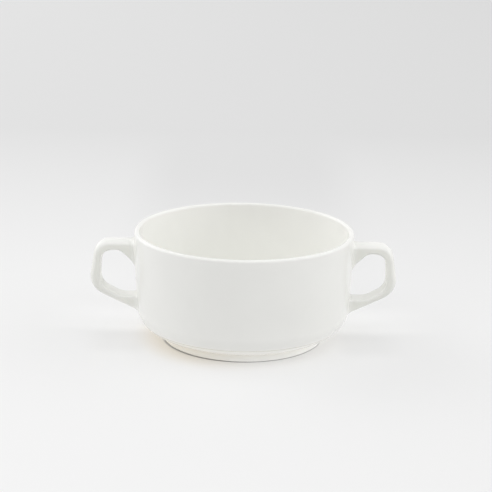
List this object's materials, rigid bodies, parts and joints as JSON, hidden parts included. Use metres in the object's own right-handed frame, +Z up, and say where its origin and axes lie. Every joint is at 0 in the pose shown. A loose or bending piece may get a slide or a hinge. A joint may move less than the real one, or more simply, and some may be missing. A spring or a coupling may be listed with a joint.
{
  "type": "two-handled soup bowl",
  "caption": "Round straight-sided soup bowl with a low foot ring, a rounded lip and a strap loop handle on each side.",
  "frame": {"origin": "on the table at the bowl's axis, under the middle of the foot ring", "axes": "+Z up along the bowl's axis; X through the two handles; -Y towards the viewer of the picture"},
  "size_m": [0.161, 0.115, 0.0582],
  "materials": {
    "glaze": "glossy white glaze"
  },
  "bodies": {
    "root": {"bowl": "glaze"}
  },
  "joints": []
}
